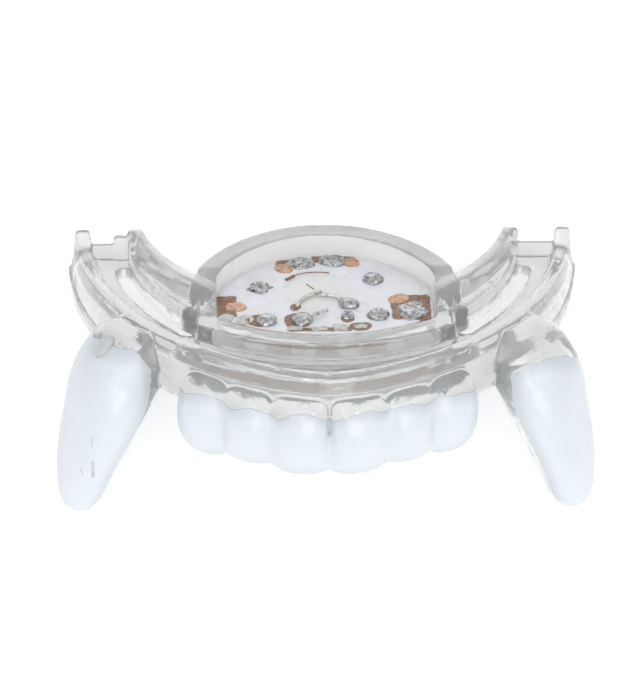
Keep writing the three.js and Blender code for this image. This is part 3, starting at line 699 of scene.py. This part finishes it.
def puddle(x, y, wide, long, high, lumpy, seed):
    """A low lumpy mound of solder on the board."""
    bm = bmesh.new()
    bmesh.ops.create_icosphere(bm, subdivisions=5, radius=1)
    bmesh.ops.bisect_plane(bm, geom=bm.verts[:] + bm.edges[:] + bm.faces[:], plane_co=(0, 0, CUT_AT),
                           plane_no=(0, 0, -1), clear_outer=True)
    rim = [e for e in bm.edges if e.is_boundary]
    bmesh.ops.holes_fill(bm, edges=rim, sides=0)
    shift = Vector((seed * 3.7, seed * 1.3, 0))      # where it reads the noise
    for v in bm.verts:
        size = 1 + lumpy * noise.noise(v.co * LUMPS + shift)
        size += lumpy * GRAIN_SHARE * noise.noise(v.co * GRAINS + shift)
        v.co = Vector((v.co.x * size * wide, v.co.y * size * long, max(v.co.z, 0) ** SAG * size * high))
        v.co += Vector((x, y, 0))
    lay_on_board(bm, 0.01)
    bmesh.ops.recalc_face_normals(bm, faces=bm.faces[:])
    return bm


for k, (name, *sizes) in enumerate(JOINTS):
    make_piece(name + "_puddle", puddle(*sizes, seed=k + 1), solder, (name,))
print("puddles:", len(JOINTS))

# %% Wire finish
tinned_wire, shader, flow = new_material("tinned_wire")
place = flow.node("Attribute", {"attribute_name": "tray"}, "Vector")
nicks = flow.noise(place, 2.2, 3.0)
bump = flow.node("Bump", Height=nicks, Strength=0.2, Distance=0.0002)
hue = nicks.step(0.35, 0.65).colours((0.34, 0.33, 0.30, 1), (0.70, 0.69, 0.65, 1))
dress(flow, shader, Base_Color=hue, Metallic=0.6, Roughness=0.25 + nicks * 0.2, Normal=bump)
print("tinned wire:", len(tinned_wire.node_tree.nodes), "nodes")

# %% Wire legs
WIRE = 0.22          # half the thickness of the wire
FIRST_WIRE_SEED, DROP_SEED = 20, 31
# Name, the sizes of its puddle, and paths whose points are x, y and height over the board.
WIRES = [
    ("wire_leg_upper", (2.80, 15.60, 1.25, 1.05, 0.75, 0.10),
     [[(-3.6, 15.0, 0.15), (-3.3, 15.5, 0.45), (-2.8, 16.1, 0.65), (-1.9, 16.75, 0.75), (-0.6, 17.5, 0.8)],
      [(-0.8, 16.8, 0.8), (0.4, 16.7, 0.75), (1.5, 16.35, 0.7), (2.5, 15.6, 0.45)]]),
    ("wire_leg_lower", (-3.0, 12.27, 1.30, 1.25, 0.85, 0.10),
     [[(-2.6, 12.4, 0.45), (-1.7, 12.75, 0.5), (-0.8, 13.3, 0.5), (0.1, 13.85, 0.5)]]),
]
# Thin dark lines on the face of the board: name, finish, half thickness and path.
TRACES = [
    ("trace_over_cell", brown_copper, 0.07, [(-4.2, 21.6, 0), (-3.4, 22.3, 0), (-2.2, 22.7, 0),
                                             (-0.7, 22.8, 0), (0.6, 22.6, 0)]),
    ("trace_foot", brown_copper, 0.20, [(-4.8, 21.0, 0), (-4.3, 21.4, 0), (-3.8, 21.9, 0)]),
    ("clipped_leg", brown_copper, 0.06, [(-2.3, 19.6, 0), (-1.9, 19.0, 0.1), (-1.4, 18.4, 0.1)]),
]


def bent_wire(points, thick=WIRE):
    """A round wire along a smooth path over the board."""
    path = bpy.data.curves.new("path", "CURVE")
    path.dimensions, path.bevel_depth, path.bevel_resolution = "3D", thick, 4
    path.resolution_u, path.use_fill_caps = 8, True
    spline = path.splines.new("NURBS")
    spline.points.add(len(points) - 1)
    for point, (x, y, lift) in zip(spline.points, points):
        point.co = (x, y, max(BOARD_TOP + lift, on_board(x, y) + thick / 2), 1)
    spline.use_endpoint_u, spline.order_u = True, 3
    holder = bpy.data.objects.new("path", path)
    bpy.context.scene.collection.objects.link(holder)
    tube = bpy.data.meshes.new_from_object(holder.evaluated_get(bpy.context.evaluated_depsgraph_get()))
    bpy.data.objects.remove(holder)
    return tube


for k, (name, joint, paths) in enumerate(WIRES):
    make_piece(name + "_joint", puddle(*joint, seed=FIRST_WIRE_SEED + k), solder, (name,))
    for n, points in enumerate(paths):
        bm = bmesh.new()
        bm.from_mesh(bent_wire(points))
        make_piece("%s_%d" % (name, n + 1), bm, tinned_wire)
for name, finish, thick, points in TRACES:
    bm = bmesh.new()
    bm.from_mesh(bent_wire(points, thick))
    make_piece(name, bm, finish)
make_piece("solder_drop", puddle(2.55, 13.2, 0.75, 0.85, 0.5, 0.2, seed=DROP_SEED), solder)
print("wires:", sum(len(paths) for _, _, paths in WIRES), "traces:", len(TRACES))

# %% [markdown]
# ## Lamps
#
# Four clear 3 mm lamps lie on their sides behind the front wall. A lamp is turned, so
# half of its outline is spun round its axis: a dome, a straight body and a small rim.
# Inside sit the two metal posts, one with the little cup that holds the chip.

# %% Lamp metal
lamp_metal, shader, flow = new_material("lamp_metal")
place = flow.node("Attribute", {"attribute_name": "tray"}, "Vector")
plating = flow.noise(place, 3.0, 3.0)
bump = flow.node("Bump", Height=plating, Strength=0.2, Distance=0.0001)
hue = plating.colours((0.80, 0.80, 0.79, 1), (0.90, 0.90, 0.89, 1))
dress(flow, shader, Base_Color=hue, Metallic=0.7, Roughness=0.25 + plating * 0.15, Normal=bump)
print("lamp metal:", len(lamp_metal.node_tree.nodes), "nodes")

# %% Turning
RIM_SIDES = 48


def turned(profile, middle):
    """Spins (radius, distance along the axis) round an axis that points to the front."""
    bm = bmesh.new()
    points = [bm.verts.new((r, -d, 0)) for r, d in profile]
    for a, b in zip(points, points[1:]):
        bm.edges.new((a, b))
    bmesh.ops.spin(bm, geom=bm.verts[:] + bm.edges[:], cent=(0, 0, 0), axis=(0, 1, 0), dvec=(0, 0, 0),
                   angle=math.tau, steps=RIM_SIDES, use_merge=True)
    bmesh.ops.remove_doubles(bm, verts=bm.verts, dist=1e-4)
    bmesh.ops.recalc_face_normals(bm, faces=bm.faces[:])
    bmesh.ops.translate(bm, verts=bm.verts, vec=middle)
    return bm


print("a turned piece has", RIM_SIDES, "sides")

# %% Lamps
LAMPS = 4
RIM = 0.25           # how far the foot stands out
RIM_HIGH = 0.8
SOFT = 0.06          # rounding of the rim
DOME_STEPS = 12
CUP_ASIDE, POST_ASIDE = 0.35, -0.6
# Outlines of the metal inside: radius and height over the foot.
CUP = [(0, 1.9), (0.22, 2.0), (0.5, 2.45), (0.56, 2.45), (0.56, 1.8), (0.25, 1.5), (0.25, 0.1), (0, 0.1)]
POST = [(0, 2.7), (0.2, 2.65), (0.24, 2.4), (0.2, 0.1), (0, 0.1)]

for k in range(LAMPS):
    name = "led_%d" % (k + 1)
    low, high = node_box(name)
    axis = Vector(((low.x + high.x) / 2, high.y, (low.z + high.z) / 2))
    length, foot = high.y - low.y, (high.x - low.x) / 2
    body = foot - RIM
    angles = [math.pi / 2 * s / DOME_STEPS for s in range(DOME_STEPS)]
    dome = [(body * math.cos(a), length - body + body * math.sin(a)) for a in angles] + [(0, length)]
    shell = [(0, 0), (foot - SOFT, 0), (foot, SOFT), (foot, RIM_HIGH - 0.08),
             (foot - 0.08, RIM_HIGH), (body + 0.05, RIM_HIGH)]
    make_piece(name + "_lamp", turned(shell + dome, axis), lens_resin, (name,))
    make_piece(name + "_cup", turned(CUP, axis + Vector((CUP_ASIDE, 0, 0))), lamp_metal)
    make_piece(name + "_post", turned(POST, axis + Vector((POST_ASIDE, 0, 0))), lamp_metal)
print("lamps:", LAMPS)

# %% [markdown]
# ## Coin cell
#
# Under the board lies the cell that feeds the lamps: a pressed steel can, a narrow
# groove where the seal sits and a smaller cap. It is turned as well.

# %% Coin cell
steel, shader, flow = new_material("cell_steel")
place = flow.node("Attribute", {"attribute_name": "tray"}, "Vector")
brushed = flow.noise(place, 3.0, 6.0)
bump = flow.node("Bump", Height=brushed, Strength=0.3, Distance=0.0001)
hue = brushed.colours((0.62, 0.63, 0.64, 1), (0.74, 0.75, 0.76, 1))
dress(flow, shader, Base_Color=hue, Metallic=1.0, Roughness=0.22 + brushed * 0.2, Normal=bump)

low, high = node_box("coin_cell")
middle = (low + high) / 2
radius, deep = (high.x - low.x) / 2, high.z - low.z
can_top, lip_top = deep * 0.66, deep * 0.74
seal, cap = radius * 0.86, radius * 0.82
cell = [(0, 0), (radius - 0.25, 0), (radius - 0.07, 0.07), (radius, 0.25), (radius, can_top),
        (radius - 0.15, lip_top), (seal, lip_top), (seal, can_top),
        (cap, can_top), (cap, deep - 0.15), (radius * 0.78, deep), (0, deep)]
bm = turned(cell, (0, 0, 0))
upright = Matrix.Rotation(math.radians(-90), 3, "X")
bmesh.ops.rotate(bm, cent=(0, 0, 0), matrix=upright, verts=bm.verts)
bmesh.ops.translate(bm, verts=bm.verts, vec=(middle.x, middle.y, low.z))
make_piece("turned_cell", bm, steel, ("coin_cell",))
print("cell", round(2 * radius, 1), "mm across and", round(deep, 1), "mm high")

# %% [markdown]
# ## Studio
#
# The photograph was taken on white with very soft light. A pale floor and a bright sky
# give that, and the sky is darker near the horizon, because clear plastic only shows
# when there is something darker for its edges to bend into view.

# %% Floor
FLOOR_HALF = 1.5     # metres

floor_paint, shader, flow = new_material("pale_floor")
place = flow.node("TexCoord", (), "Object")
cloud = flow.noise(place, 8.0, 3.0)
dress(flow, shader, Base_Color=cloud.colours((0.93, 0.93, 0.93, 1), (0.95, 0.95, 0.95, 1)), Roughness=0.6,
      Emission_Color=(1, 1, 1, 1), Emission_Strength=0.28)
bm = bmesh.new()
bmesh.ops.create_grid(bm, x_segments=8, y_segments=8, size=FLOOR_HALF)
mesh = bpy.data.meshes.new("floor")
bm.to_mesh(mesh)
bm.free()
mesh.materials.append(floor_paint)
floor = bpy.data.objects.new("floor", mesh)
bpy.context.scene.collection.objects.link(floor)
print("floor:", 2 * FLOOR_HALF, "m across")

# %% Sky and lights
# Azimuth, elevation, half width in degrees and strength. The last two are small and
# strong, for the glints on the paint.
SOFT_BOXES = [(8, 30, 20, 2.4), (183, 4, 14, 1.2), (-35, 62, 22, 1.3), (75, 57, 16, 1.4),
              (-20, 48, 5, 9.0), (35, 66, 5, 8.0)]

world = bpy.data.worlds.new("studio")
bpy.context.scene.world = world
world.use_nodes = True
sky = Flow(world.node_tree)
direction = sky.node("TexCoord", (), "Generated")
height = sky.node("SeparateXYZ", (), "Z", Vector=direction)
glow = height.node("MapRange", {"interpolation_type": "SMOOTHSTEP"}, Value=height,
                   From_Min=-0.05, From_Max=0.6, To_Min=0.60, To_Max=0.91)


def soft_box(azimuth, elevation, width, strength):
    """A soft bright patch of sky. azimuth 0 is behind the camera, 180 beyond the denture."""
    a, e = math.radians(azimuth), math.radians(elevation)
    towards = (math.sin(a) * math.cos(e), -math.cos(a) * math.cos(e), math.sin(e))
    facing = sky.node("VectorMath", {"operation": "DOT_PRODUCT"}, "Value", i0=direction, i1=towards)
    return facing.step(math.cos(math.radians(width)), math.cos(math.radians(width * 0.5))) * strength


for patch in SOFT_BOXES:
    glow = glow + soft_box(*patch)
background = world.node_tree.nodes["Background"]
world.node_tree.links.new(glow.socket, background.inputs["Strength"])
background.inputs["Color"].default_value = (0.97, 0.985, 1.0, 1)
print("soft boxes:", len(SOFT_BOXES))

# %% [markdown]
# ## Camera
#
# The photograph looks down on the tray from 35 degrees above its rim, through a long
# lens. Because the denture stands tipped back, that is a steep view from above.

# %% Camera
ABOVE, ASIDE, ROLL = math.radians(35), math.radians(-2.14), math.radians(0.79)
DISTANCE = 380.0                      # mm
PIXELS_PER_MM = 8.3
LONG_SIDE = 700
SENSOR = 36
AIM = Vector((0, 10, 0))
AIM_RIGHT, AIM_UP = 7.38, 19.85       # pixels from the middle of the picture to the aim

back = Vector((math.sin(ASIDE) * math.cos(ABOVE), -math.cos(ASIDE) * math.cos(ABOVE), math.sin(ABOVE)))
side = Vector((0, 0, 1)).cross(back).normalized()
top = back.cross(side)
side, top = (side * math.cos(ROLL) + top * math.sin(ROLL), top * math.cos(ROLL) - side * math.sin(ROLL))
lens = bpy.data.cameras.new("camera")
lens.sensor_width = SENSOR
lens.lens = SENSOR * DISTANCE * PIXELS_PER_MM / LONG_SIDE
lens.shift_x, lens.shift_y = -AIM_RIGHT / LONG_SIDE, -AIM_UP / LONG_SIDE
lens.clip_start, lens.clip_end = 0.01, 10
camera = bpy.data.objects.new("camera", lens)
bpy.context.scene.collection.objects.link(camera)
camera.matrix_world = Matrix.Translation(TO_WORLD @ (AIM + back * DISTANCE)) @ (
    turn @ Matrix((side, top, back)).transposed()).to_4x4()
bpy.context.scene.camera = camera
bpy.context.scene.view_settings.view_transform = "Standard"
print("camera", round(math.degrees(math.asin((turn @ back).z)), 1), "degrees above the floor")

# %% [markdown]
# ## Sizes
#
# The dressed denture keeps the size of the packed one.
